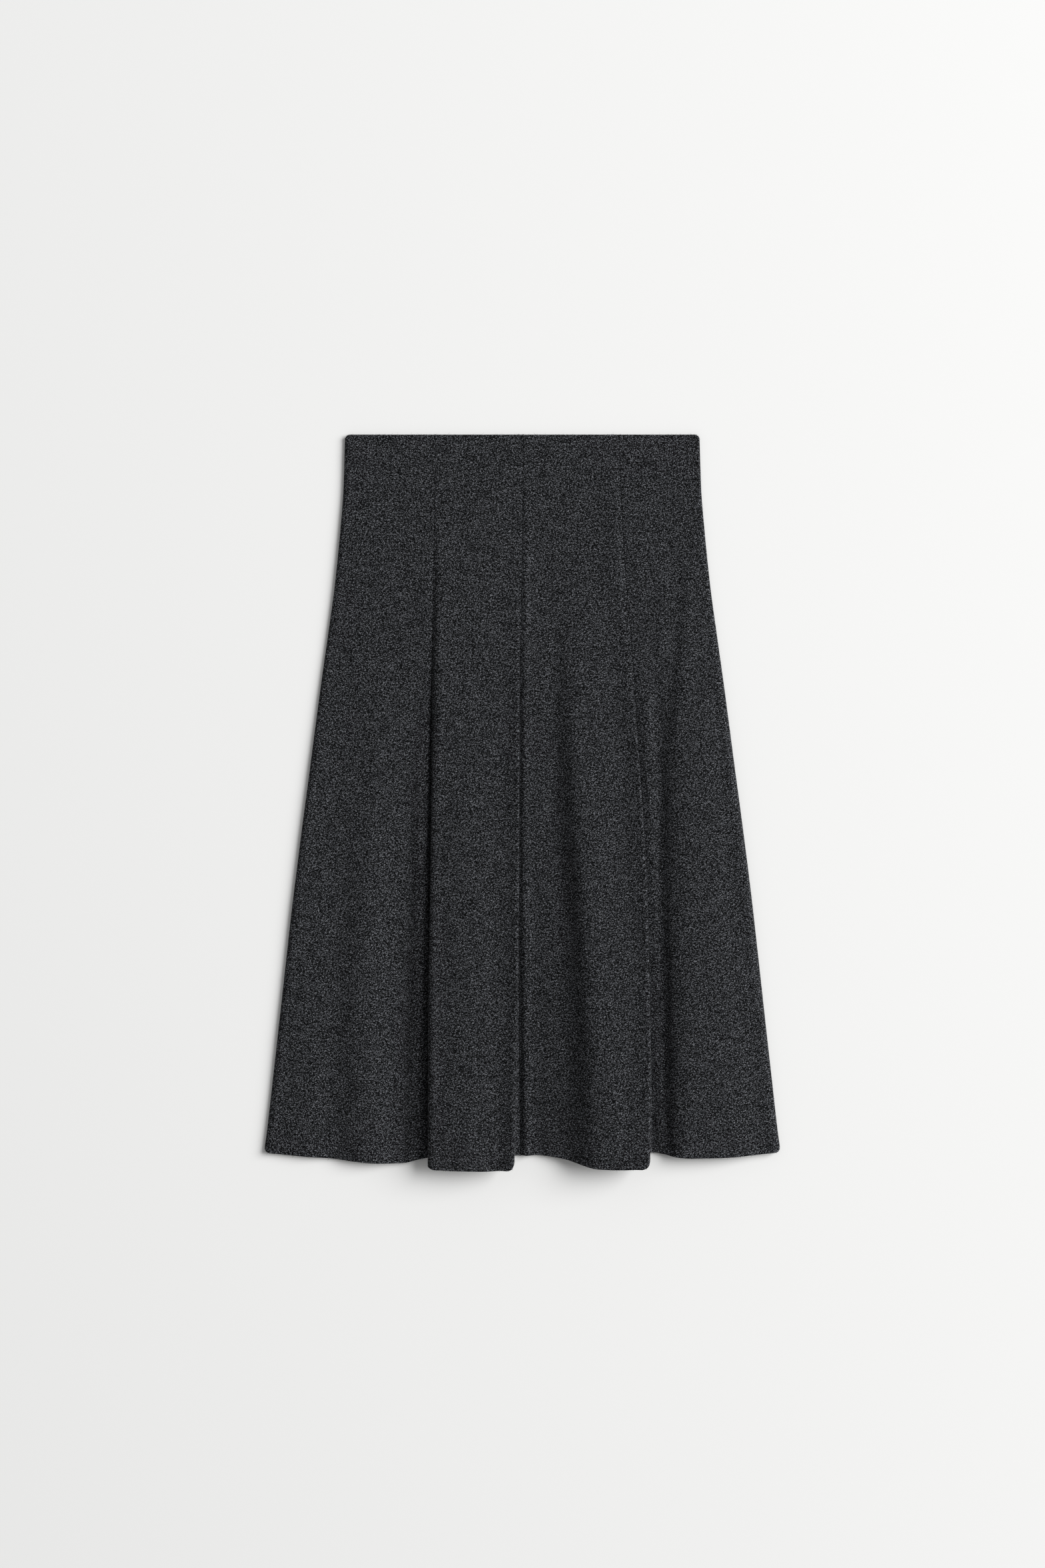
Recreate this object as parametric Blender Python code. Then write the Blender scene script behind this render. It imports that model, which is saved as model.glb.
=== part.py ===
"""A gored midi skirt of felted jersey, laid flat with its front up.

Four front gores fall in flutes over four plain back gores. +Z is up, the waist is towards +Y and the hem
towards -Y. The origin is under the middle of the skirt. Sizes are in metres, and the tables are in
millimetres.
"""

from collections import namedtuple

import bmesh
import bpy
import numpy as np

MM = 0.001

# Driving sizes
WAIST_WIDTH = 0.360
HEM_WIDTH = 0.523
SIDE_LENGTH = 0.728
WALL = 0.0016
GAP = 0.0003

# How the layers lie
BACK_TOP = WALL
FRONT_REST = BACK_TOP + GAP + WALL / 2
LOFT = 0.0016
LOFT_FULL_AT = 0.09
LOFT_AT_WAIST = 0.4
ROLL_WIDTH = 0.007
ROLL_SHAPE = 1.2
ROLL_ANGLES = (0, 14, 40, 70)
CORNER = 0.0044
CORNER_FADE = 8
SEAM_FLAT = 0.0010

# The hem hangs lower under each flute, and a little lower left of the middle than right of it
DROP_PER_LIFT = 0.60
HEM_SAG = 0.0026
HEM_TILT = 0.021
BACK_HEM_INSET = 0.001

ROWS = 20
STEPS_BETWEEN_LINES = 2
BACK_ROWS = 12
BACK_COLUMNS = 3

CLOTH_COLOUR = (0.032, 0.033, 0.036, 1)
CLOTH_ROUGHNESS = 0.95

# How much of the flare is reached at each share of the way down: a fitted top, a hip curve, then nearly
# straight sides
Hip = namedtuple("Hip", "down flare")
HIP_CURVE = [
    Hip(0.00, 0.000),
    Hip(0.07, 0.019),
    Hip(0.14, 0.066),
    Hip(0.21, 0.129),
    Hip(0.28, 0.215),
    Hip(0.36, 0.315),
    Hip(0.47, 0.444),
    Hip(0.65, 0.650),
    Hip(0.84, 0.840),
    Hip(1.00, 1.000),
]
MIDDLE_DOWN = 0.47
MIDDLE_FLARE = 0.444

# Each line runs from waist to hem. waist, middle and hem are how far it is across from the centre line,
# and rise_middle and rise_hem how far it is lifted there. Along a row the lines follow the cloth, so
# where a flute leans over its own foot they go back to the left.
Line = namedtuple("Line", "name waist middle hem rise_middle rise_hem")
SIDE_LEFT = [
    Line("outer swell", -170.0, -204.0, -246.0, 1.0, 2.0),
    Line("outer hollow", -154.0, -185.0, -217.0, 1.3, 3.8),
    Line("swell foot", -143.0, -173.0, -190.0, 1.5, 5.8),
    Line("swell slope", -135.0, -164.0, -172.0, 2.6, 8.8),
    Line("swell crest", -125.0, -150.0, -150.0, 3.8, 11.2),
    Line("inner swell", -110.0, -126.0, -128.0, 3.8, 11.6),
    Line("inner slope", -99.5, -107.0, -113.0, 2.6, 9.2),
    Line("trough side", -94.5, -99.5, -102.5, 0.8, 3.8),
    Line("trough", -91.0, -96.0, -95.5, -0.9, -0.9),
]
SEAM_LEFT = Line("left princess seam", -88.5, -93.0, -90.0, -1.3, -1.4)
CENTRE_LEFT = [
    Line("flute foot", -86.5, -90.6, -85.6, -0.5, 0.4),
    Line("flute wall", -84.8, -90.4, -88.2, 2.6, 8.4),
    Line("flute edge", -82.6, -90.9, -94.7, 5.2, 14.4),
    Line("flute shoulder", -79.5, -87.0, -89.5, 7.4, 19.6),
    Line("flute top", -72.0, -78.0, -78.0, 8.4, 21.2),
    Line("flute crown", -57.0, -61.0, -60.0, 8.8, 22.0),
    Line("flute dip", -36.0, -38.0, -38.0, 7.8, 21.2),
    Line("right crest", -15.0, -18.5, -18.5, 8.2, 22.4),
    Line("right shoulder", -8.6, -11.2, -11.2, 6.8, 20.4),
    Line("right edge", -6.0, -8.0, -8.8, 4.8, 14.6),
    Line("right wall", -3.8, -7.2, -9.4, 2.2, 7.6),
    Line("right foot", -1.6, -6.0, -7.0, -0.4, 0.8),
]
SEAM_CENTRE = Line("centre seam", 0.8, -3.4, -1.9, -1.0, -1.3)
CENTRE_RIGHT = [
    Line("hollow", 9.0, 7.0, 11.0, 0.0, -0.2),
    Line("hollow side", 21.0, 21.0, 27.0, 0.4, 2.0),
    Line("slope foot", 31.5, 33.5, 43.0, 1.8, 7.2),
    Line("slope", 37.5, 42.5, 56.5, 4.6, 13.6),
    Line("slope head", 43.5, 51.0, 69.5, 7.2, 19.0),
    Line("second top", 52.0, 62.0, 84.0, 8.4, 22.0),
    Line("second crown", 68.0, 82.0, 102.0, 8.6, 23.4),
    Line("second crest", 84.0, 103.0, 118.5, 6.4, 23.4),
    Line("second shoulder", 90.5, 111.5, 125.8, 4.0, 20.8),
    Line("second edge", 93.0, 115.0, 128.5, 2.2, 14.6),
    Line("second wall", 94.8, 117.0, 128.4, 0.9, 7.6),
    Line("second foot", 96.6, 118.0, 129.9, -0.2, 0.6),
]
SEAM_RIGHT = Line("right princess seam", 98.3, 119.6, 132.6, -0.5, -1.2)
SIDE_RIGHT = [
    Line("low ridge", 106.0, 127.0, 138.0, 1.5, -0.2),
    Line("rise foot", 118.0, 138.0, 143.5, 1.4, 2.6),
    Line("rise", 128.0, 148.0, 151.0, 4.2, 6.8),
    Line("rise head", 136.0, 157.0, 161.0, 6.2, 9.8),
    Line("third top", 146.0, 170.0, 178.0, 6.8, 10.8),
    Line("third crown", 158.0, 187.0, 206.0, 5.6, 9.6),
    Line("right swell", 170.0, 204.0, 245.0, 1.4, 2.6),
]

# Where each stretch of cloth starts to rise from the fitted top, in metres below the waist
Gore = namedtuple("Gore", "name lines rises_from")
FRONT_GORES = [
    Gore("front_side_left", SIDE_LEFT, 0.200),
    Gore("front_centre_left", CENTRE_LEFT, 0.085),
    Gore("front_centre_right", CENTRE_RIGHT, 0.140),
    Gore("front_side_right", SIDE_RIGHT, 0.120),
]
FRONT_SEAMS = [SEAM_LEFT, SEAM_CENTRE, SEAM_RIGHT]

BackSeam = namedtuple("BackSeam", "waist hem")
BACK_SEAMS = [BackSeam(-90.0, -130.5), BackSeam(0.0, 0.0), BackSeam(90.0, 130.5)]
BACK_NAMES = ["back_side_left", "back_centre_left", "back_centre_right", "back_side_right"]


def steady_slopes(rate, step):
    """Slopes at the inner knots that never let a curve swing past a knot (monotone cubic)."""
    before = 2 * step[1:] + step[:-1]
    after = step[1:] + 2 * step[:-1]
    same_way = rate[:-1] * rate[1:] > 0
    with np.errstate(divide="ignore", invalid="ignore"):
        mean = (before + after) / (before / rate[:-1] + after / rate[1:])
    return np.where(same_way, mean, 0)


def round_slopes(rate, step):
    """Slopes at the inner knots that turn evenly, as cloth does round a fold."""
    return (rate[:-1] * step[1:] + rate[1:] * step[:-1]) / (step[:-1] + step[1:])


def smooth_through(knots, values, at, inner_slopes):
    """Values, at the given places, of a cubic curve that passes through every knot."""
    knots = np.asarray(knots, float)
    values = np.asarray(values, float).reshape(len(knots), -1)
    at = np.asarray(at, float)
    step = np.diff(knots)[:, None]
    rate = np.diff(values, axis=0) / step
    slope = np.vstack([rate[0], inner_slopes(rate, step), rate[-1]])
    span = np.clip(np.searchsorted(knots, at, side="right") - 1, 0, len(knots) - 2)
    width = step[span]
    t = (at - knots[span])[:, None] / width
    return (
        values[span] * (1 + 2 * t) * (1 - t) ** 2
        + values[span + 1] * t**2 * (3 - 2 * t)
        + slope[span] * width * t * (1 - t) ** 2
        + slope[span + 1] * width * t**2 * (t - 1)
    )


def flare_at(down):
    """Share of the waist-to-hem flare reached at a share of the way down."""
    shares = [row.down for row in HIP_CURVE]
    flares = [row.flare for row in HIP_CURVE]
    return smooth_through(shares, flares, [down], steady_slopes).item()


def half_width(down):
    return (WAIST_WIDTH + (HEM_WIDTH - WAIST_WIDTH) * flare_at(down)) / 2


def across(line, down):
    """How far a line is from the centre: a parabola in the flare through its three places."""
    f = flare_at(down)
    m = MIDDLE_FLARE
    at_waist = (f - m) * (f - 1) / m
    at_middle = f * (f - 1) / (m * (m - 1))
    at_hem = f * (f - m) / (1 - m)
    return (line.waist * at_waist + line.middle * at_middle + line.hem * at_hem) * MM


def rise(line, down, rises_from):
    """How far a line is lifted: nothing on the fitted top, then growing towards the hem."""
    start = rises_from / SIDE_LENGTH
    knots = [start - 1, start, MIDDLE_DOWN, 1]
    rises = [0, 0, line.rise_middle, line.rise_hem]
    return smooth_through(knots, rises, [down], steady_slopes).item() * MM


def loft(down):
    """The small lift of one cloth layer off the other, less at the waist."""
    share = min(1, down * SIDE_LENGTH / LOFT_FULL_AT)
    return LOFT * (LOFT_AT_WAIST + (1 - LOFT_AT_WAIST) * share * share * (3 - 2 * share))


def corner(x, half):
    """How far a rounded corner cuts the edge back at x."""
    into = np.clip(np.abs(x) - (half - WALL / 2 - CORNER), 0, CORNER)
    return CORNER - np.sqrt(CORNER**2 - into**2)


def hem_drop(x, lifted):
    """How far below the side seams the hem hangs."""
    half = HEM_WIDTH / 2
    sag = (HEM_SAG - HEM_TILT * x) * (1 - np.minimum(np.abs(x) / half, 1) ** 2)
    return sag + DROP_PER_LIFT * np.maximum(lifted, 0)


def side_roll(side, down, height):
    """Knots from the side seam up over the rolled edge of the front, as (x, z, lift)."""
    edge = half_width(down) - WALL / 2
    seam_z = BACK_TOP + GAP
    width = min(ROLL_WIDTH, ROLL_SHAPE * (height - seam_z))
    roll = []
    for angle in np.radians(ROLL_ANGLES):
        x = side * (edge - width * (1 - np.cos(angle)))
        roll.append((x, seam_z + (height - seam_z) * np.sin(angle), 0))
    return roll


def front_knots(down):
    """One row across the whole front as (x, z, lift) knots, and the index of each seam in it."""
    base = FRONT_REST + loft(down)
    knots = []
    seams = []
    for number, gore in enumerate(FRONT_GORES):
        for line in gore.lines:
            lifted = rise(line, down, gore.rises_from)
            knots.append((across(line, down), max(base + lifted, FRONT_REST), lifted))
        if number < len(FRONT_SEAMS):
            seam = FRONT_SEAMS[number]
            lifted = rise(seam, down, gore.rises_from)
            seams.append(len(knots))
            knots.append((across(seam, down), max(base + lifted, FRONT_REST), lifted))
    left_roll = side_roll(-1, down, knots[0][1])
    right_roll = side_roll(1, down, knots[-1][1])
    knots = left_roll + knots + right_roll[::-1]
    seams = [index + len(left_roll) for index in seams]
    return np.array(knots), seams


def front_row(down):
    """Columns of points across each gore of the front, at one share of the way down."""
    knots, seams = front_knots(down)
    along = np.concatenate([[0], np.cumsum(np.linalg.norm(np.diff(knots[:, :2], axis=0), axis=1))])
    cuts = [0, *seams, len(knots) - 1]
    steps = np.arange(STEPS_BETWEEN_LINES) / STEPS_BETWEEN_LINES
    gores = []
    for first, last in zip(cuts, cuts[1:]):
        widths = np.diff(along[first : last + 1])
        at = (along[first:last, None] + widths[:, None] * steps).ravel()
        at = np.append(at, along[last])
        if first in seams:
            at[1] = min(at[1], at[0] + SEAM_FLAT)
            at[0] += GAP / 2
        if last in seams:
            at[-2] = max(at[-2], at[-1] - SEAM_FLAT)
            at[-1] -= GAP / 2
        gores.append(smooth_through(along, knots, at, round_slopes))
    return gores


def place_row(points, down):
    """(x, z, lift) rows as (x, y, z), from the waist line down to the hem line."""
    x, z, lifted = points.T
    top = -corner(x, WAIST_WIDTH / 2)
    drop = hem_drop(x, lifted * down) - corner(x, HEM_WIDTH / 2) * down**CORNER_FADE
    y = top * (1 - down) ** CORNER_FADE - down * (SIDE_LENGTH + drop)
    return np.column_stack([x, y, z])


def build_front():
    rows = np.linspace(0, 1, ROWS + 1)
    sections = [front_row(down) for down in rows]
    for number, gore in enumerate(FRONT_GORES):
        grid = [place_row(section[number], down) for section, down in zip(sections, rows)]
        cloth(gore.name, np.array(grid))


def build_back():
    rows = np.linspace(0, 1, BACK_ROWS + 1)
    for number, name in enumerate(BACK_NAMES):
        grid = []
        for down in rows:
            half = half_width(down)
            seams = [(seam.waist + (seam.hem - seam.waist) * flare_at(down)) * MM for seam in BACK_SEAMS]
            edges = [-half, *seams, half]
            left = edges[number] + (GAP / 2 if number else 0)
            right = edges[number + 1] - (GAP / 2 if number < len(BACK_NAMES) - 1 else 0)
            x = np.linspace(left, right, BACK_COLUMNS + 1)
            row = place_row(np.column_stack([x, np.full_like(x, BACK_TOP / 2), np.zeros_like(x)]), down)
            row[:, 1] += BACK_HEM_INSET * down
            grid.append(row)
        cloth(name, np.array(grid))


def cloth(name, grid):
    """A panel of cloth: a grid of points, row by row down the skirt, given its thickness by Solidify."""
    mesh = bpy.data.meshes.new(name)
    panel = bpy.data.objects.new(name, mesh)
    bpy.context.scene.collection.objects.link(panel)
    made = bmesh.new()
    points = [[made.verts.new(point) for point in row] for row in grid]
    for upper, lower in zip(points, points[1:]):
        for a, b, c, d in zip(upper, upper[1:], lower[1:], lower):
            made.faces.new((d, c, b, a))
    made.to_mesh(mesh)
    made.free()
    mesh.shade_smooth()
    mesh.materials.append(jersey())
    thickness = panel.modifiers.new("Thickness", "SOLIDIFY")
    thickness.thickness = WALL
    thickness.offset = 0
    thickness.use_rim = True
    return panel


def jersey():
    """Dark charcoal felted wool jersey, matt all over."""
    material = bpy.data.materials.get("wool_jersey")
    if material:
        return material
    material = bpy.data.materials.new("wool_jersey")
    material.use_nodes = True
    shader = material.node_tree.nodes["Principled BSDF"]
    shader.inputs["Base Color"].default_value = CLOTH_COLOUR
    shader.inputs["Roughness"].default_value = CLOTH_ROUGHNESS
    shader.inputs["Metallic"].default_value = 0
    return material


def centre_on_origin():
    """Moves the skirt along Y so that its middle is over the origin."""
    bpy.context.view_layer.update()
    corners = [
        panel.matrix_world @ vertex.co for panel in bpy.data.objects for vertex in panel.data.vertices
    ]
    lengthwise = [corner.y for corner in corners]
    middle = (max(lengthwise) + min(lengthwise)) / 2
    for panel in bpy.data.objects:
        panel.location.y = -middle


def main():
    for old in list(bpy.data.objects):
        bpy.data.objects.remove(old, do_unlink=True)
    build_front()
    build_back()
    centre_on_origin()


main()
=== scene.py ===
# Charcoal gored midi skirt in felted wool jersey, laid flat on the floor with its front up.
# The waist is towards +Y and the hem towards -Y. Sizes in the dictionaries are millimetres: x is
# across from the centre line, to the right in the picture, and down is how far below the waist edge.
import math

import bpy
import numpy as np
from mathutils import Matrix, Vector, noise


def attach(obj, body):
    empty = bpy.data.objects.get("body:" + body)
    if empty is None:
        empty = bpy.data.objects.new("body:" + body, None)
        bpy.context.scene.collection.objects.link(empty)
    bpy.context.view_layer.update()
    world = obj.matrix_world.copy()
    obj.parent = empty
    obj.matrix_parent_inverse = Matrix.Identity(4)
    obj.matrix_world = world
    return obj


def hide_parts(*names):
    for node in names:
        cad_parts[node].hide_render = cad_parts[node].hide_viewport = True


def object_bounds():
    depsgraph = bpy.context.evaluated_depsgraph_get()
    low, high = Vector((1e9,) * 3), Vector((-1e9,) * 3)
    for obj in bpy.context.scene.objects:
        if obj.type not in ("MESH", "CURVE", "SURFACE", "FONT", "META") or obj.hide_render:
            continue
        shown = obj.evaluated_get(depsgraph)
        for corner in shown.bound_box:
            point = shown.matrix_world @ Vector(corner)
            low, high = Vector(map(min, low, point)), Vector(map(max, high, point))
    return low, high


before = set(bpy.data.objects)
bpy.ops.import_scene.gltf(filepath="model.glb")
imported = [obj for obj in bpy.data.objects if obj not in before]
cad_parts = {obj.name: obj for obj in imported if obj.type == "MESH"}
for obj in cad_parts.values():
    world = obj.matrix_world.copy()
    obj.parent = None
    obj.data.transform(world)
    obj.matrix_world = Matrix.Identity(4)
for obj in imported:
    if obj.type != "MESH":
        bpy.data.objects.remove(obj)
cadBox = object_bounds()
mm = 0.001
waistY = cadBox[1][1] / mm  # the waist edge, on the Y axis
print("frame loaded:", ", ".join(sorted(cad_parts)))


# Camera, floor and light

photo = {
    "width": 1568,  # pixels
    "height": 2352,
    "mmPerPixel": 0.6767,  # the waist is 360 mm over 532 pixels
    "centreColumn": 783.75,
    "waistRow": 652.5,
    "cameraHeight": 3000,  # straight above the picture's middle
}

studio = {
    "floorSize": 40000,
    "floorDrop": 0.4,  # keeps the floor from sharing a plane with the underside
    "floorColour": "#f3f3f2",
    "floorRoughness": 0.9,
    "skyColour": "#ffffff",
    "skyStrength": 0.31,
    "keyHeight": 36,  # degrees above the floor
    "keyTurn": 18,  # degrees from the right of the picture towards the waist
    "keyDistance": 12000,
    "keySize": 9000,  # a large round softbox
    "keyPower": 1850,  # watts
}


def fromHex(code):
    # an sRGB colour as the linear numbers that the shaders take
    channels = [int(code[at : at + 2], 16) / 255 for at in (1, 3, 5)]
    return (*[c / 12.92 if c <= 0.04045 else ((c + 0.055) / 1.055) ** 2.4 for c in channels], 1)


def addNode(material, kind, settings=None, links=None):
    # a setting is a socket's name or number, or one of the node's own options
    node = material.node_tree.nodes.new("ShaderNode" + kind)
    for name, value in (settings or {}).items():
        if isinstance(name, int) or name in node.inputs:
            node.inputs[name].default_value = value
        else:
            setattr(node, name, value)
    for name, socket in (links or {}).items():
        material.node_tree.links.new(socket, node.inputs[name])
    return node


def newMaterial(name):
    material = bpy.data.materials.new(name)
    material.use_nodes = True
    material.node_tree.nodes.clear()
    return material


def setUpCamera():
    right = (photo["width"] / 2 - photo["centreColumn"]) * photo["mmPerPixel"]
    down = (photo["height"] / 2 - photo["waistRow"]) * photo["mmPerPixel"]
    place = Vector((right, waistY - down, photo["cameraHeight"])) * mm
    bpy.ops.object.camera_add(location=place)
    camera = bpy.context.object
    camera.name = "camera"
    camera.data.sensor_fit = "VERTICAL"
    halfPicture = photo["height"] / 2 * photo["mmPerPixel"]
    camera.data.angle = 2 * math.atan(halfPicture / photo["cameraHeight"])
    bpy.context.scene.camera = camera


def setUpStudio():
    bpy.ops.mesh.primitive_plane_add(size=studio["floorSize"] * mm)
    floor = bpy.context.object
    floor.name = "floor"
    floor.location.z = -studio["floorDrop"] * mm
    # matt white paper: an even, bright ground with no shine, on which only soft shadows show
    paper = newMaterial("matt_white_paper")
    matt = addNode(
        paper,
        "BsdfPrincipled",
        {"Base Color": fromHex(studio["floorColour"]), "Roughness": studio["floorRoughness"]},
    )
    addNode(paper, "OutputMaterial", links={"Surface": matt.outputs[0]})
    floor.data.materials.append(paper)

    height = math.radians(studio["keyHeight"])
    turn = math.radians(studio["keyTurn"])
    towardsLight = Vector(
        (math.cos(height) * math.cos(turn), math.cos(height) * math.sin(turn), math.sin(height))
    )
    bpy.ops.object.light_add(type="AREA", location=towardsLight * studio["keyDistance"] * mm)
    key = bpy.context.object
    key.name = "softKey"
    key.rotation_euler = towardsLight.to_track_quat("Z", "Y").to_euler()
    key.data.shape = "DISK"
    key.data.size = studio["keySize"] * mm
    key.data.energy = studio["keyPower"]

    world = bpy.data.worlds.new("studio")
    world.use_nodes = True
    sky = world.node_tree.nodes["Background"]
    sky.inputs["Color"].default_value = fromHex(studio["skyColour"])
    sky.inputs["Strength"].default_value = studio["skyStrength"]
    bpy.context.scene.world = world
    bpy.context.scene.view_settings.view_transform = "Standard"


bpy.ops.object.select_all(action="DESELECT")
setUpCamera()
setUpStudio()
print("camera, floor and light are set")


# Felted jersey

feltedJersey = {
    # boiled wool jersey: knitted from a melange of black, charcoal and pale grey wool, then felted
    # until the stitches close. The eye sees a matt, grainy, slightly hairy cloth with no shine
    "wools": ("#010101", "#060607", "#0e0f10", "#202123", "#797b80"),  # from black to pale grey
    "shares": (0.47, 0.535, 0.61, 0.68, 0.815),  # where each wool begins in the pattern
    "tuftWidth": 0.56,  # tufts of fibres, drawn coarse enough to show
    "tuftLength": 2.0,
    "tuftTurns": (18, 63, 109, 152),  # degrees from the courses
    "tuftShift": (0.37, 0.61),  # for each degree of turn, so that no two layers line up
    "grain": 1.7,  # rounder specks among the tufts
    "grainShare": 0.2,
    "mottle": 11,  # wide, faint clouds
    "mottleDepth": 0.06,
    "courseHeight": 1.6,  # a knitted row
    "courseLength": 26,
    "courseDepth": 0.05,
    "details": (0, 1, 2, 1),  # layers of finer noise in tufts, grain, mottle and courses
    "detailRoughness": 0.6,  # and how strong each layer is
    "roughness": 0.92,
    "specular": 0.06,
    "sheen": 0.03,
    "sheenRoughness": 0.5,
    "bump": 0.5,
    "bumpHeight": 0.35,
}


def setStops(ramp, look):
    # one stop of the ramp for each wool, from its share of the pattern upwards
    stops = ramp.color_ramp.elements
    while len(stops) < len(look["wools"]):
        stops.new(0.5)  # anywhere, for it is placed below
    for stop, place, wool in zip(stops, look["shares"], look["wools"]):
        stop.position = place
        stop.color = fromHex(wool)


def makeFeltedJersey():
    look = feltedJersey
    material = newMaterial("felted_wool_jersey")
    cloth = addNode(material, "UVMap", {"uv_map": "cloth"}).outputs["UV"]

    # every pattern is noise drawn out along one direction of the cloth: width, length, turn, detail
    inTufts, inGrain, inMottle, inCourses = look["details"]
    patterns = [(look["tuftWidth"], look["tuftLength"], turn, inTufts) for turn in look["tuftTurns"]]
    patterns += [
        (look["grain"], look["grain"], 0, inGrain),
        (look["mottle"], look["mottle"], 0, inMottle),
        (look["courseHeight"], look["courseLength"], 0, inCourses),
    ]
    shiftAlong, shiftAcross = look["tuftShift"]
    drawn = []
    for width, length, turn, detail in patterns:
        turned = addNode(
            material,
            "Mapping",
            {
                "vector_type": "TEXTURE",
                "Rotation": (0, 0, math.radians(turn)),
                "Scale": (length * mm, width * mm, 1),
                "Location": (shiftAlong * turn * mm, shiftAcross * turn * mm, 0),
            },
            {"Vector": cloth},
        )
        cells = addNode(
            material,
            "TexNoise",
            {
                "noise_dimensions": "2D",
                "Scale": 1,
                "Detail": detail,
                "Roughness": look["detailRoughness"],
            },
            {"Vector": turned.outputs[0]},
        )
        drawn.append(cells.outputs["Fac"])
    *strokes, grain, mottle, courses = drawn

    tufts = strokes[0]
    for stroke in strokes[1:]:
        tufts = addNode(
            material, "Math", {"operation": "MAXIMUM"}, {0: tufts, 1: stroke}
        ).outputs[0]
    fibres = addNode(
        material, "Mix", {"data_type": "FLOAT", 0: look["grainShare"]}, {2: tufts, 3: grain}
    ).outputs[0]
    shade = fibres
    for pattern, depth in ((mottle, look["mottleDepth"]), (courses, look["courseDepth"])):
        centred = addNode(
            material, "Math", {"operation": "MULTIPLY_ADD", 1: depth, 2: -depth / 2}, {0: pattern}
        ).outputs[0]
        shade = addNode(material, "Math", {"operation": "ADD"}, {0: shade, 1: centred}).outputs[0]

    ramp = addNode(material, "ValToRGB", links={0: shade})
    setStops(ramp, look)
    bump = addNode(
        material,
        "Bump",
        {"Strength": look["bump"], "Distance": look["bumpHeight"] * mm},
        {"Height": fibres},
    )
    shader = addNode(
        material,
        "BsdfPrincipled",
        {
            "Roughness": look["roughness"],
            "Specular IOR Level": look["specular"],
            "Sheen Weight": look["sheen"],
            "Sheen Roughness": look["sheenRoughness"],
        },
        {"Base Color": ramp.outputs[0], "Normal": bump.outputs[0]},
    )
    addNode(material, "OutputMaterial", links={"Surface": shader.outputs[0]})
    return material


strayWool = {
    # single wool fibres that stand out of the felt: black to pale grey, matt, each of one colour
    "wools": ("#0b0c0d", "#2e3032", "#85878b"),
    "shares": (0.36, 0.52, 0.68),
    "change": 4,  # how far apart the colours change
    "roughness": 0.8,
    "specular": 0.15,
}


def makeStrayWool():
    look = strayWool
    material = newMaterial("stray_wool_fibres")
    place = addNode(material, "TexCoord").outputs["Object"]
    cells = addNode(
        material,
        "TexNoise",
        {"Scale": 1 / (look["change"] * mm), "Detail": 0},
        {"Vector": place},
    )
    ramp = addNode(material, "ValToRGB", links={0: cells.outputs["Fac"]})
    setStops(ramp, look)
    shader = addNode(
        material,
        "BsdfPrincipled",
        {"Roughness": look["roughness"], "Specular IOR Level": look["specular"]},
        {"Base Color": ramp.outputs[0]},
    )
    addNode(material, "OutputMaterial", links={"Surface": shader.outputs[0]})
    return material


jersey = makeFeltedJersey()
fibres = makeStrayWool()
print("felted jersey is ready")


# The skirt as it lies

skirt = {
    "waistWidth": 360,
    "hemWidth": 523,
    "sideLength": 728,
    "wall": 1.6,  # how thick the cloth is
    "layerGap": 0.3,  # between front and back where they lie closest, before the creases
    "seamGap": 0.1,  # between neighbouring gores
    "loft": 1.6,  # how far the front stands off the back
    "loftFullAt": 90,  # below the waist
    "loftAtWaist": 0.4,  # the share of it at the waist
    "rollWidth": 7,  # the front rolls down to the side seams
    "rollShape": 1.2,
    "rollTurns": (0, 14, 40, 70),  # degrees
    "corner": 4.4,  # radius of the outer corners at waist and hem
    "cornerFade": 8,  # how soon it is lost away from the edge
    "dropPerLift": 0.60,  # the hem hangs lower under each flute
    "hemSag": 2.6,  # and towards the middle
    "hemTilt": 0.021,  # and more on the left than on the right
    "hemCorners": (-8.4, 127.6),  # the right edges of both flutes, rounded at the hem
    "hemCorner": (9, 7),  # how wide and how high
    "cornerLift": (9, 17),  # lifts between which the rounding sets in, so only the top has it
    "backHemInset": 1.0,  # the back ends this far above the front
    # shares of the way down, and of the flare reached there: a fitted top, a hip curve, straight sides
    "hipDown": (0.00, 0.07, 0.14, 0.21, 0.28, 0.36, 0.47, 0.65, 0.84, 1.00),
    "hipFlare": (0.000, 0.019, 0.066, 0.129, 0.215, 0.315, 0.444, 0.650, 0.840, 1.000),
    "middleDown": 0.47,  # the middle that the lines below speak of, in the same two shares
    "middleFlare": 0.444,
    "rowStep": 2.5,  # between rows of points
    "columnStep": 2.1,  # and between columns, at the hem
    "leastSteps": 3,  # columns from one line to the next
    "edgeSteps": (0, 0.08, 0.25, 0.5, 0.8, 1.4),  # extra rows and columns that round every cut edge
    "rowsReplaced": 2,  # even rows that they replace at each end
    "columnsReplaced": (4, 3),  # and columns, at the left and the right
    "edgeRound": 0.8,  # how wide the rounding is
    "edgeWall": 0.1,  # the share of the wall that is left at the very edge
}

# Each gore is drawn by lines from waist to hem: name, x at the waist, the middle and the hem, and how
# far it is lifted at the middle and the hem. Where a flute leans over its own foot, x goes back.
# A crease is a soft ridge, or a trough where its height is below 0: a path of (down, x, height), and
# how far it spreads to the left and the right.

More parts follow.
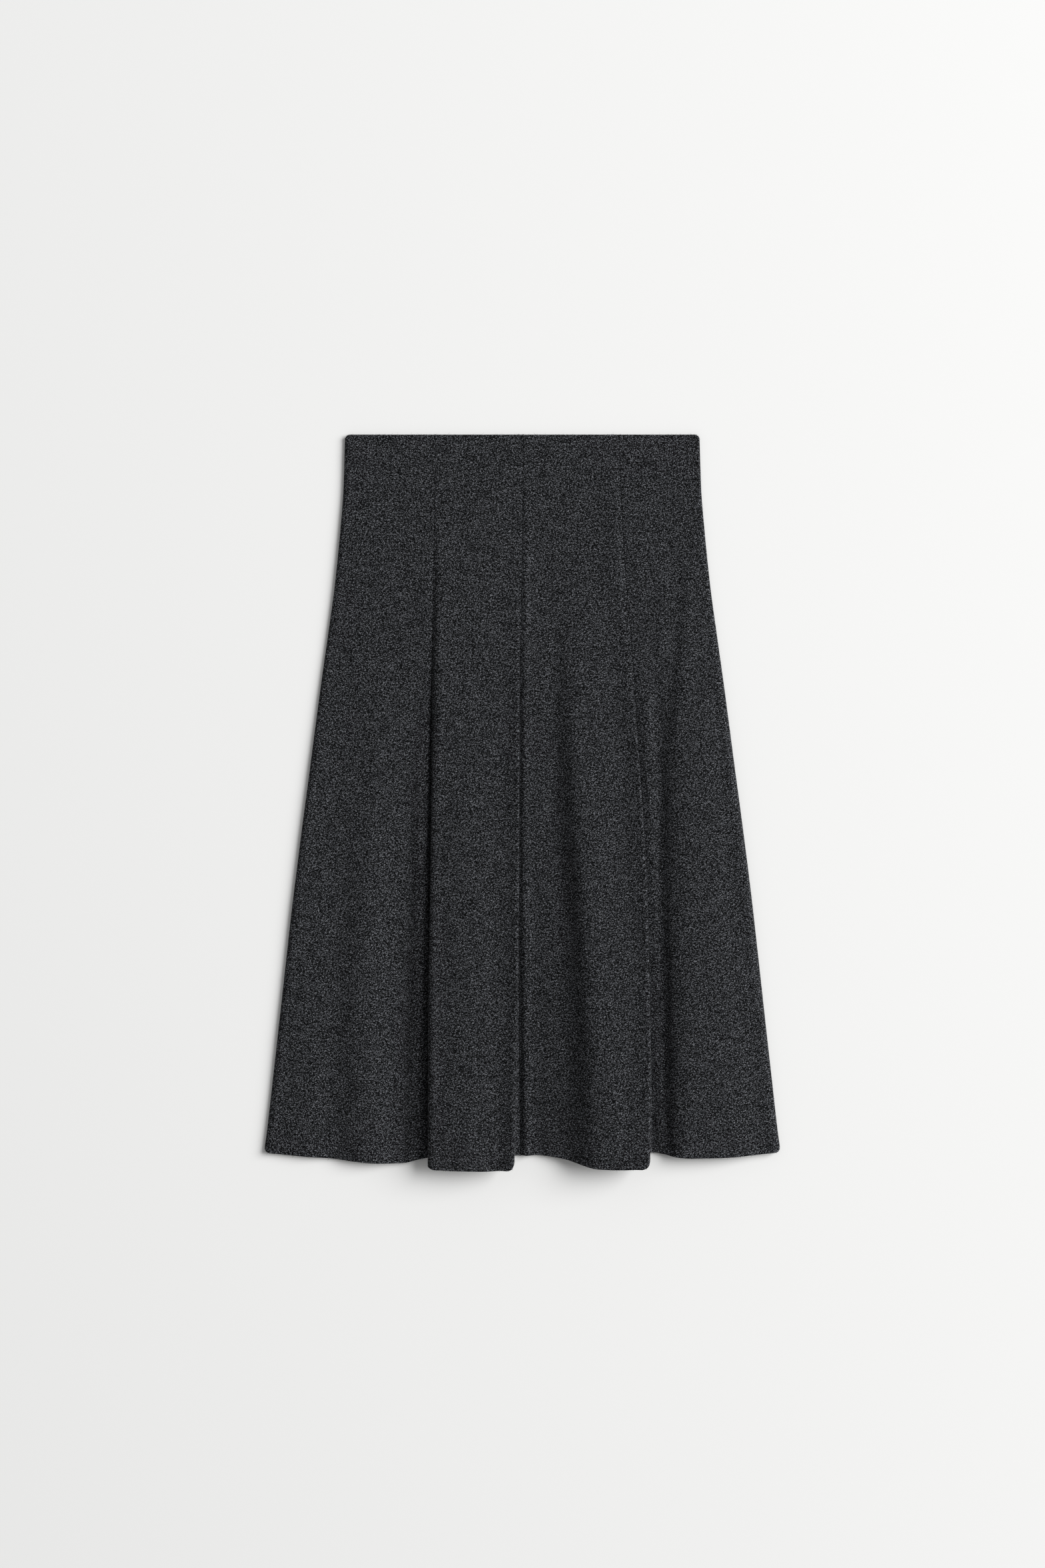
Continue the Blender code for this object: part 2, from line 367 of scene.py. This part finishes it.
sideLeft = {
    "node": "front_side_left",
    "risesFrom": 200,
    "flat": (180, 740),
    "area": 0.0950,  # square metres
    "lines": [
        ("outer swell", -170.0, -204.0, -246.0, 1.0, 0.8),
        ("outer hollow", -154.0, -185.0, -217.0, 1.3, 3.0),
        ("swell foot", -143.0, -173.0, -191.0, 1.4, 4.8),
        ("swell slope", -135.0, -163.0, -170.0, 2.3, 8.2),
        ("swell crest", -125.0, -149.0, -146.0, 3.6, 10.8),
        ("inner swell", -111.0, -128.0, -130.0, 3.0, 10.6),
        ("inner slope", -99.5, -107.0, -113.0, 2.4, 8.8),
        ("trough side", -94.5, -99.5, -102.5, 1.2, 3.2),
        ("trough", -91.0, -96.0, -96.8, 0.8, 1.2),
    ],
    "creases": [
        {  # beside the seam at the hip
            "path": [(90, -96, 0), (160, -97, 0.9), (260, -99, 0.8), (340, -100, 0)],
            "left": 9,
            "right": 4,
        },
        {  # the narrow ridge left of the trough
            "path": [
                (280, -104, 0),
                (370, -104, 1.6),
                (450, -103.5, 2.6),
                (600, -103, 2.6),
                (728, -102, 1.8),
            ],
            "left": 5,
            "right": 4,
        },
        {  # the wide hollow in the bank beside the first flute
            "path": [
                (230, -105, 0),
                (300, -111, -2.2),
                (370, -114, -4.6),
                (450, -116, -7.2),
                (600, -119, -10.2),
                (728, -121, -9.4),
            ],
            "left": 34,
            "right": 15,
        },
        {  # along the seam
            "path": [(200, -95.6, 0), (342, -96.4, 0.8), (728, -97.4, 2.2)],
            "left": 3.4,
            "right": 4,
        },
        {  # the hollow in the outer swell
            "path": [
                (120, -168, 0),
                (200, -176, -0.7),
                (400, -186, -1.7),
                (560, -190, -3.2),
                (728, -192, -4.2),
            ],
            "left": 18,
            "right": 20,
        },
    ],
}

centreLeft = {
    "node": "front_centre_left",
    "risesFrom": 85,
    "flat": (141, 745),
    "area": 0.0782,
    "lines": [
        ("flute foot", -86.5, -90.6, -85.6, -0.5, 0.4),
        ("flute wall", -84.8, -91.0, -90.4, 2.8, 9.2),
        ("flute edge", -82.6, -91.0, -95.0, 5.3, 14.4),
        ("flute shoulder", -79.5, -88.4, -91.6, 7.3, 18.2),
        ("flute top", -72.0, -79.5, -81.5, 8.2, 19.6),
        ("flute crown", -57.0, -61.0, -61.0, 8.9, 21.0),
        ("flute dip", -36.0, -38.0, -38.0, 8.0, 22.2),
        ("right crest", -13.0, -15.6, -18.0, 8.0, 21.8),
        ("right lip", -8.6, -8.2, -12.0, 9.5, 22.8),
        ("right brow", -6.7, -4.9, -9.3, 10.4, 23.3),
        ("right shoulder", -6.1, -4.3, -8.7, 10.2, 23.0),
        ("right edge", -5.7, -3.9, -8.4, 9.2, 21.7),
        ("right wall", -4.9, -5.2, -9.8, 2.8, 9.0),
        ("right foot", -2.4, -4.4, -7.4, -0.6, 0.2),
    ],
    "creases": [
        {  # the first flute where it sets in
            "path": [(85, -84, 0), (130, -84, 1.4), (240, -85, 1.6), (340, -84, 0)],
            "left": 4,
            "right": 15,
        },
        {  # the dip in its crown
            "path": [(430, -31, 0), (600, -29, -1.7), (728, -28, -3.0)],
            "left": 18,
            "right": 13,
        },
        {  # its left foot
            "path": [(280, -84, 0), (400, -86, -1.3), (728, -87, -1.5)],
            "left": 6,
            "right": 20,
        },
    ],
}

centreRight = {
    "node": "front_centre_right",
    "risesFrom": 140,
    "flat": (161, 744),
    "area": 0.0934,
    "lines": [
        ("welt", 5.2, 2.2, 3.4, 0.7, 0.6),
        ("hollow", 14.0, 11.0, 14.0, 0.0, -0.4),
        ("hollow side", 23.0, 22.0, 27.0, 0.4, 2.2),
        ("slope foot", 31.5, 34.5, 44.0, 1.5, 7.4),
        ("slope", 37.5, 43.5, 57.8, 4.6, 14.6),
        ("slope head", 43.5, 52.0, 71.4, 7.4, 20.8),
        ("second top", 52.0, 65.0, 87.0, 7.9, 23.2),
        ("second crown", 68.0, 84.0, 104.0, 7.4, 24.0),
        ("second crest", 82.0, 105.0, 117.0, 6.6, 24.0),
        ("second lip", 84.6, 113.6, 123.6, 8.0, 24.8),
        ("second brow", 86.4, 117.2, 126.6, 8.9, 25.2),
        ("second shoulder", 87.0, 117.8, 127.2, 8.7, 24.8),
        ("second edge", 87.5, 118.2, 127.6, 7.7, 23.4),
        ("second wall", 89.0, 117.0, 126.4, 2.4, 9.4),
        ("second foot", 93.0, 118.4, 129.9, -0.2, 0.0),
    ],
    "creases": [
        {  # along the centre seam
            "path": [
                (20, 4.2, 0),
                (70, 4.0, 1.1),
                (155, 3.6, 1.8),
                (215, 2.6, 0.8),
                (350, 1.4, 0.6),
                (600, 2.6, 1.2),
                (728, 3.2, 1.8),
            ],
            "left": 2,
            "right": 3.2,
        },
        {  # the hollow low on the second flute's slope
            "path": [
                (110, 32, 0),
                (170, 32, -0.6),
                (240, 33, -1.0),
                (320, 34, -1.3),
                (450, 43, -2.6),
                (600, 50, -2.8),
                (728, 52, -1.0),
            ],
            "left": 14,
            "right": 13,
        },
        {  # the ridge at the head of the slope
            "path": [
                (110, 48, 0),
                (170, 49, 0.6),
                (240, 50, 0.9),
                (320, 54, 1.2),
                (450, 65, 2.2),
                (600, 75, 2.4),
                (728, 80, 0.8),
            ],
            "left": 13,
            "right": 18,
        },
        {  # beside the right princess seam at the hip
            "path": [
                (25, 91, 0),
                (60, 94, 1.6),
                (95, 95.5, 2.6),
                (125, 97, 2.2),
                (160, 101, 0.8),
                (280, 109, 0),
            ],
            "left": 12,
            "right": 3.6,
        },
    ],
}

sideRight = {
    "node": "front_side_right",
    "risesFrom": 120,
    "flat": (136, 735),
    "area": 0.0751,
    "lines": [
        ("low ridge", 108.0, 127.0, 138.0, 1.3, 0.8),
        ("rise foot", 126.0, 139.0, 144.5, 1.0, 3.2),
        ("rise", 138.0, 148.5, 152.5, 4.3, 6.0),
        ("rise head", 147.0, 157.0, 161.5, 5.8, 8.0),
        ("third top", 157.0, 173.0, 184.0, 6.4, 8.8),
        ("third crown", 166.0, 189.0, 210.0, 6.6, 7.8),
        ("right swell", 174.0, 204.0, 245.0, 5.0, 2.2),
    ],
    "creases": [
        {  # beside the right princess seam at the hip
            "path": [
                (50, 106, 0),
                (80, 107.5, 1.2),
                (115, 109, 1.4),
                (170, 116, 0.4),
                (220, 122, 0),
            ],
            "left": 4,
            "right": 8,
        },
        {  # and further down
            "path": [
                (180, 118, 0),
                (270, 124.5, 0.7),
                (400, 127.5, 0.8),
                (520, 131, 0.5),
                (620, 137, 0),
            ],
            "left": 3.6,
            "right": 4.5,
        },
        {  # two ridges at the hip, with a trough between them
            "path": [(110, 144, 0), (180, 141, 1.1), (240, 137, 1.0), (300, 134, 0)],
            "left": 6,
            "right": 9,
        },
        {
            "path": [
                (110, 156, 0),
                (180, 155, -0.9),
                (240, 151, -1.3),
                (300, 146, -0.6),
                (350, 144, 0),
            ],
            "left": 8,
            "right": 6,
        },
        {
            "path": [
                (110, 168, 0),
                (180, 167, 1.4),
                (240, 163, 1.9),
                (290, 159, 1.5),
                (350, 156, 0),
            ],
            "left": 7,
            "right": 14,
        },
        {  # a trough and a ridge near the hem
            "path": [(480, 141, 0), (614, 144, -1.5), (728, 146, -1.8)],
            "left": 9,
            "right": 6,
        },
        {
            "path": [(480, 155, 0), (614, 156, 1.3), (728, 157, 1.6)],
            "left": 6,
            "right": 14,
        },
        {  # the foot of the third swell
            "path": [
                (220, 144, 0),
                (330, 140, -1.4),
                (450, 139, -1.9),
                (600, 142, -0.8),
                (728, 144, 0),
            ],
            "left": 8,
            "right": 8,
        },
        {  # and its broad top
            "path": [
                (220, 170, 0),
                (330, 167, 1.2),
                (450, 168, 1.9),
                (600, 172, 2.2),
                (728, 176, 1.6),
            ],
            "left": 17,
            "right": 26,
        },
    ],
}

frontGores = [sideLeft, centreLeft, centreRight, sideRight]
frontSeams = [
    ("left princess seam", -88.5, -93.0, -90.0, -1.3, -1.4),
    ("centre seam", 0.8, -3.4, -1.9, -1.0, -1.3),
    ("right princess seam", 98.3, 119.6, 132.6, -0.5, -1.2),
]


def steadySlopes(rate, step):
    # slopes that never let a curve swing past a knot
    before = 2 * step[1:] + step[:-1]
    after = step[1:] + 2 * step[:-1]
    with np.errstate(divide="ignore", invalid="ignore"):
        mean = (before + after) / (before / rate[:-1] + after / rate[1:])
    return np.where(rate[:-1] * rate[1:] > 0, mean, 0)


def roundSlopes(rate, step):
    # slopes that turn evenly, as cloth does round a fold
    return (rate[:-1] * step[1:] + rate[1:] * step[:-1]) / (step[:-1] + step[1:])


def smoothThrough(knots, values, at, innerSlopes):
    # a cubic curve through the values at the knots, read off at other places
    knots = np.asarray(knots, float)
    values = np.asarray(values, float).reshape(len(knots), -1)
    at = np.asarray(at, float)
    step = np.diff(knots)[:, None]
    rate = np.diff(values, axis=0) / step
    slope = np.vstack([rate[0], innerSlopes(rate, step), rate[-1]])
    span = np.clip(np.searchsorted(knots, at, side="right") - 1, 0, len(knots) - 2)
    width = step[span]
    t = (at - knots[span])[:, None] / width
    return (
        values[span] * (1 + 2 * t) * (1 - t) ** 2
        + values[span + 1] * t**2 * (3 - 2 * t)
        + slope[span] * width * t * (1 - t) ** 2
        + slope[span + 1] * width * t**2 * (t - 1)
    )


def smoothStep(share):
    share = np.clip(share, 0, 1)
    return share * share * (3 - 2 * share)


def flareAt(down):
    return smoothThrough(skirt["hipDown"], skirt["hipFlare"], [down], steadySlopes).item()


def halfWidth(down):
    return (skirt["waistWidth"] + (skirt["hemWidth"] - skirt["waistWidth"]) * flareAt(down)) / 2


def lineAt(line, down, risesFrom):
    # where a line is at a share of the way down, and its lift: x bends with the flare through the
    # line's three places, and the fitted top has no lift
    waist, middle, hem, riseMiddle, riseHem = line[1:]
    flare = flareAt(down)
    bend = skirt["middleFlare"]
    x = (
        waist * (flare - bend) * (flare - 1) / bend
        + middle * flare * (flare - 1) / (bend * (bend - 1))
        + hem * flare * (flare - bend) / (1 - bend)
    )
    start = risesFrom / skirt["sideLength"]
    knots = [start - 1, start, skirt["middleDown"], 1]  # the first keeps it level down to the start
    lift = smoothThrough(knots, [0, 0, riseMiddle, riseHem], [down], steadySlopes).item()
    return x, lift


def sideRoll(side, down, height):
    # how a row rolls down from its height to the side seam, on the left (-1) or the right (1)
    edge = halfWidth(down) - skirt["wall"] / 2
    seamHeight = skirt["wall"] + skirt["layerGap"]
    width = min(skirt["rollWidth"], skirt["rollShape"] * (height - seamHeight))
    roll = []
    for turn in np.radians(skirt["rollTurns"]):
        x = side * (edge - width * (1 - np.cos(turn)))
        roll.append((x, seamHeight + (height - seamHeight) * np.sin(turn), 0))
    return roll


def frontKnots(down):
    # one row across the whole front as (x, height, lift), and where its seams are
    rest = skirt["wall"] * 1.5 + skirt["layerGap"]  # the middle of the cloth, lying on the back
    share = smoothStep(down * skirt["sideLength"] / skirt["loftFullAt"])
    base = rest + skirt["loft"] * (skirt["loftAtWaist"] + (1 - skirt["loftAtWaist"]) * share)
    knots, seams = [], []
    for number, gore in enumerate(frontGores):
        for line in gore["lines"] + frontSeams[number : number + 1]:
            x, lift = lineAt(line, down, gore["risesFrom"])
            knots.append((x, max(base + lift, rest), lift))
        seams.append(len(knots) - 1)
    leftRoll = sideRoll(-1, down, knots[0][1])
    rightRoll = sideRoll(1, down, knots[-1][1])
    knots = leftRoll + knots + rightRoll[::-1]
    return np.array(knots), [at + len(leftRoll) for at in seams[:-1]]


def stepsBetween(lengths):
    # how many columns lie between neighbouring lines, from their distances along the hem
    return [max(skirt["leastSteps"], round(length / skirt["columnStep"])) for length in lengths]


def alongCloth(knots):
    # the distance of every knot from the first, over the folds
    return np.concatenate([[0], np.cumsum(np.linalg.norm(np.diff(knots[:, :2], axis=0), axis=1))])


def rowPlaces():
    # shares of the way down, closer together towards both edges
    length, replaced = skirt["sideLength"], skirt["rowsReplaced"]
    edge = np.array(skirt["edgeSteps"]) / length
    inner = np.linspace(0, 1, round(length / skirt["rowStep"]) + 1)[replaced:-replaced]
    return np.concatenate([edge, inner, 1 - edge[::-1]])


def columnPlaces(along, steps):
    # distances along the row, closer together towards both edges
    edge = np.array(skirt["edgeSteps"]) + skirt["seamGap"] / 2
    inner = [
        along[at] + (along[at + 1] - along[at]) * np.arange(count) / count
        for at, count in enumerate(steps)
    ]
    atLeft, atRight = skirt["columnsReplaced"]
    inner = np.concatenate(inner)[atLeft:-atRight]
    low, high = along[0] + edge, along[-1] - edge[::-1]
    inner = low[-1] + (inner - inner[0]) / (inner[-1] - inner[0]) * (high[0] - low[-1])
    return np.concatenate([low[:-1], inner, high[1:]])


def placeRow(row, down):
    # (x, height, lift) as (x, y, height), from the waist edge down to the hem edge
    x, height, lift = row.T
    length, fade, halfHem = skirt["sideLength"], skirt["cornerFade"], skirt["hemWidth"] / 2
    sag = (skirt["hemSag"] - skirt["hemTilt"] * x) * (1 - np.minimum(np.abs(x) / halfHem, 1) ** 2)
    drop = sag + skirt["dropPerLift"] * np.maximum(lift * down, 0)
    drop -= (cornerCut(x, halfHem) + fluteCorners(x, lift)) * down**fade
    top = cornerCut(x, skirt["waistWidth"] / 2) * (1 - down) ** fade
    return np.column_stack([x, waistY - top - down * (length + drop), height])


def fluteCorners(x, lift):
    # how much of the hem the rounding takes away at the right edge of a flute
    width, height = skirt["hemCorner"]
    low, high = skirt["cornerLift"]
    cut = 0
    for edge in skirt["hemCorners"]:
        into = np.clip((x - edge) / width + 1, 0, 1) * (x < edge + width)
        cut = cut + height * (1 - np.sqrt(1 - into**2))
    return cut * smoothStep((lift - low) / (high - low))


def cornerCut(x, half):
    # and at the outer corners of waist and hem
    radius = skirt["corner"]
    into = np.clip(np.abs(x) - (half - skirt["wall"] / 2 - radius), 0, radius)
    return radius - np.sqrt(radius**2 - into**2)


unevenness = {  # felted jersey never lies quite even
    "height": 0.45,
    "across": 34,  # how wide and how long its waves are
    "along": 95,
    "layer": 7.3,  # which slice of the noise is used
    "startsAt": 60,  # full this far below the waist
}


def outwardsFrom(grid):
    outwards = np.cross(np.gradient(grid, axis=0), np.gradient(grid, axis=1))
    return outwards / np.linalg.norm(outwards, axis=2, keepdims=True)


def addCreases(grid, down, creases):
    # moves the points outwards, by the gore's creases and by the unevenness of the cloth
    outwards = outwardsFrom(grid)
    x, rows = grid[:, :, 0], down[:, 0]
    slack = 1  # a path that ends at the hem reaches the last row
    lift = np.zeros_like(x)
    for crease in creases:
        downs, centres, heights = np.array(crease["path"], float).T
        path = np.column_stack([centres, heights])
        within = np.clip(rows, downs[0], downs[-1])
        centre, height = smoothThrough(downs, path, within, steadySlopes).T
        height = np.where((rows < downs[0]) | (rows > downs[-1] + slack), 0, height)
        away = x - centre[:, None]
        width = np.where(away < 0, crease["left"], crease["right"])
        lift += height[:, None] * np.exp(-((away / width) ** 2))
    across, along = unevenness["across"], unevenness["along"]
    waves = [
        noise.noise(Vector((px / across, py / along, unevenness["layer"])))
        for px, py in zip(x.ravel(), down.ravel())
    ]
    lift += unevenness["height"] * smoothStep(down / unevenness["startsAt"]) * np.reshape(waves, x.shape)
    return grid + outwards * lift[:, :, None]


def makeCloth(name, grid, across, down):
    # a panel of cloth from a grid of points: across and down are each point's place in the cloth
    rows, columns = grid.shape[:2]
    numbers = np.arange(rows * columns).reshape(rows, columns)
    corners = [numbers[1:, :-1], numbers[1:, 1:], numbers[:-1, 1:], numbers[:-1, :-1]]
    faces = np.stack(corners, axis=-1).reshape(-1, 4)
    mesh = bpy.data.meshes.new(name)
    mesh.from_pydata((grid.reshape(-1, 3) * mm).tolist(), [], faces.tolist())
    places = mesh.uv_layers.new(name="cloth")
    places.uv.foreach_set("vector", (np.dstack([across, down]).reshape(-1, 2)[faces] * mm).ravel())
    piece = bpy.data.objects.new(name, mesh)
    bpy.context.scene.collection.objects.link(piece)

    # the wall thins in a half circle towards every edge
    fromEdge = np.minimum.reduce(
        [
            across - across[:, :1],
            across[:, -1:] - across,
            down - down[:1],
            down[-1:] - down,
        ]
    )
    share = np.clip(fromEdge / skirt["edgeRound"], 0, 1)
    wall = np.sqrt(1 - (1 - share) ** 2).ravel()
    group = piece.vertex_groups.new(name="wall")
    for number, weight in enumerate(wall):
        group.add([number], weight, "REPLACE")
    thickness = piece.modifiers.new("thickness", "SOLIDIFY")
    thickness.thickness = skirt["wall"] * mm
    thickness.offset = 0
    thickness.vertex_group = "wall"
    thickness.thickness_vertex_group = skirt["edgeWall"]
    mesh.shade_smooth()
    mesh.materials.append(jersey)
    bpy.context.view_layer.objects.active = piece
    piece.select_set(True)
    bpy.ops.object.modifier_apply(modifier=thickness.name)
    piece.select_set(False)
    return piece


def makeFront():
    downs = rowPlaces()
    rows = [frontKnots(down) for down in downs]
    hemKnots, seams = rows[-1]
    cuts = [0, *seams, len(hemKnots) - 1]
    pieces, strays = [], []
    for number, gore in enumerate(frontGores):
        first, last = cuts[number], cuts[number + 1]
        steps = stepsBetween(np.diff(alongCloth(hemKnots))[first:last])
        grid, across, lengthwise = [], [], []
        for (knots, _), down in zip(rows, downs):
            along = alongCloth(knots)
            at = columnPlaces(along[first : last + 1], steps)
            row = smoothThrough(along, knots, at, roundSlopes)
            grid.append(placeRow(row, down))
            across.append(at)
            lengthwise.append(np.full_like(at, down * skirt["sideLength"]))
        grid = np.array(grid)
        across, lengthwise = np.array(across), np.array(lengthwise)
        grid = addCreases(grid, lengthwise, gore["creases"])
        piece = makeCloth("cloth_" + gore["node"], grid, across, lengthwise)
        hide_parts(gore["node"])
        pieces.append(piece)
        strays.append(makeFuzz(gore, grid))
        print("made", piece.name, len(piece.data.polygons), "faces and", strays[-1].name)
    return pieces, strays


fuzz = {
    "alongEdges": 0.8,  # fibres for each millimetre of a cut edge
    "onFace": 0.011,  # and for each square millimetre
    "lengths": (1.2, 3.6),  # the shortest and the longest
    "edgeLengths": (0.6, 1.7),
    "rises": (0.15, 0.8),  # how far they stand off the cloth
    "edgeRises": (-0.5, 0.5),
    "edgeFan": 65,  # degrees to either side of straight out
    "curl": 0.35,  # a share of the length
    "spine": ((0, 0), (0.33, 0.75), (0.67, 1), (1, 0.8)),  # shares of the length and the rise
    "thickness": 0.11,
    "sides": 3,
    "rootDepth": 0.25,
    "lowest": 0.2,  # above the ground
    "seed": 12,
}


def fibreMesh(name, root, lie, outwards, length, rise, curl):
    # every fibre is a thin closed spindle: root, two rings and tip, arched and curled
    aside = np.cross(outwards, lie)
    across = np.cross(lie, aside)
    start = root - lie * fuzz["rootDepth"]
    spine = [
        start
        + lie * (length * share)[:, None]
        + outwards * (rise * high)[:, None]
        + aside * (curl * share**2)[:, None]
        for share, high in np.array(fuzz["spine"])
    ]
    sides, radius = fuzz["sides"], fuzz["thickness"] / 2
    points = [spine[0]]
    for centre in spine[1:-1]:
        for turn in np.arange(sides) * 2 * math.pi / sides:
            points.append(centre + (aside * math.cos(turn) + across * math.sin(turn)) * radius)
    points.append(spine[-1])
    points = np.stack(points, axis=1)
    points[:, :, 2] = np.maximum(points[:, :, 2], fuzz["lowest"])

    one = []  # the faces of one fibre
    count = points.shape[1]
    for side in range(sides):
        low, lowNext = 1 + side, 1 + (side + 1) % sides
        high, highNext = low + sides, lowNext + sides
        one += [
            (0, lowNext, low),
            (low, lowNext, highNext),
            (low, highNext, high),
            (high, highNext, count - 1),
        ]
    faces = (np.array(one)[None] + (np.arange(len(points)) * count)[:, None, None]).reshape(-1, 3)
    mesh = bpy.data.meshes.new(name)
    mesh.from_pydata((points.reshape(-1, 3) * mm).tolist(), [], faces.tolist())
    mesh.shade_smooth()
    mesh.materials.append(fibres)
    piece = bpy.data.objects.new(name, mesh)
    bpy.context.scene.collection.objects.link(piece)
    return piece


def makeFuzz(gore, grid):
    # stray fibres over the face of a front gore and out of its cut edges
    chance = np.random.default_rng([fuzz["seed"], frontGores.index(gore)])
    outwards = outwardsFrom(grid)
    across = np.gradient(grid, axis=1)
    along = np.gradient(grid, axis=0)
    across /= np.linalg.norm(across, axis=2, keepdims=True)
    along /= np.linalg.norm(along, axis=2, keepdims=True)

    # the face: any point of the grid, any direction along the cloth
    count = round(gore["area"] / mm**2 * fuzz["onFace"])
    at = chance.integers(0, grid.shape[0], count), chance.integers(0, grid.shape[1], count)
    turn = chance.uniform(0, 2 * math.pi, count)[:, None]
    aside = np.cross(outwards[at], across[at])
    roots = [grid[at] + outwards[at] * skirt["wall"] / 2]
    lies = [across[at] * np.cos(turn) + aside * np.sin(turn)]
    normals = [outwards[at]]
    lengths = [chance.uniform(*fuzz["lengths"], count)]
    rises = [chance.uniform(*fuzz["rises"], count)]

    # the edges: waist, hem, and the side seam of a side gore
    edges = [((0, slice(None)), -along, across), ((-1, slice(None)), along, across)]
    if gore is frontGores[0]:
        edges.append(((slice(None), 0), -across, along))
    if gore is frontGores[-1]:
        edges.append(((slice(None), -1), across, along))
    for edge, out, beside in edges:
        line = grid[edge]
        length = np.linalg.norm(np.diff(line, axis=0), axis=1).sum()
        count = round(length * fuzz["alongEdges"])
        at = chance.integers(0, len(line), count)
        fan = np.radians(chance.uniform(-fuzz["edgeFan"], fuzz["edgeFan"], count))[:, None]
        roots.append(line[at])
        lies.append(out[edge][at] * np.cos(fan) + beside[edge][at] * np.sin(fan))
        normals.append(outwards[edge][at])
        lengths.append(chance.uniform(*fuzz["edgeLengths"], count))
        rises.append(chance.uniform(*fuzz["edgeRises"], count))
    root, lie, normal = (np.concatenate(part) for part in (roots, lies, normals))
    length, rise = np.concatenate(lengths), np.concatenate(rises)
    curl = chance.uniform(-1, 1, len(root)) * fuzz["curl"] * length
    return fibreMesh("fuzz_" + gore["node"], root, lie, normal, length, rise, curl)


backSheet = {  # four plain gores, flat on the floor and each cut alike
    "nodes": ("back_side_left", "back_centre_left", "back_centre_right", "back_side_right"),
    "seams": ((-90, -130.5), (0, 0), (90, 130.5)),  # x at the waist and the hem
    "columns": 16,
    "flat": (131, 731),
    "area": 0.0795,
}


def makeBack():
    downs = rowPlaces()
    pieces = []
    for number, name in enumerate(backSheet["nodes"]):
        grid, across, lengthwise = [], [], []
        for down in downs:
            half = halfWidth(down)
            flare = flareAt(down)
            seams = [waist + (hem - waist) * flare for waist, hem in backSheet["seams"]]
            edges = [-half, *seams, half]
            along = np.array([edges[number], edges[number + 1]])
            at = columnPlaces(along, [backSheet["columns"]])
            row = np.column_stack([at, np.full_like(at, skirt["wall"] / 2), np.zeros_like(at)])
            placed = placeRow(row, down)
            placed[:, 1] += skirt["backHemInset"] * down
            grid.append(placed)
            across.append(at)
            lengthwise.append(np.full_like(at, down * skirt["sideLength"]))
        piece = makeCloth("cloth_" + name, np.array(grid), np.array(across), np.array(lengthwise))
        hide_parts(name)
        pieces.append(piece)
        print("made", piece.name, len(piece.data.polygons), "faces")
    return pieces


frontPieces, frontFuzz = makeFront()
backPieces = makeBack()


# Every panel and its fibres are attached to the root body

for piece in frontPieces + frontFuzz + backPieces:
    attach(piece, "root")

print("the skirt is dressed")
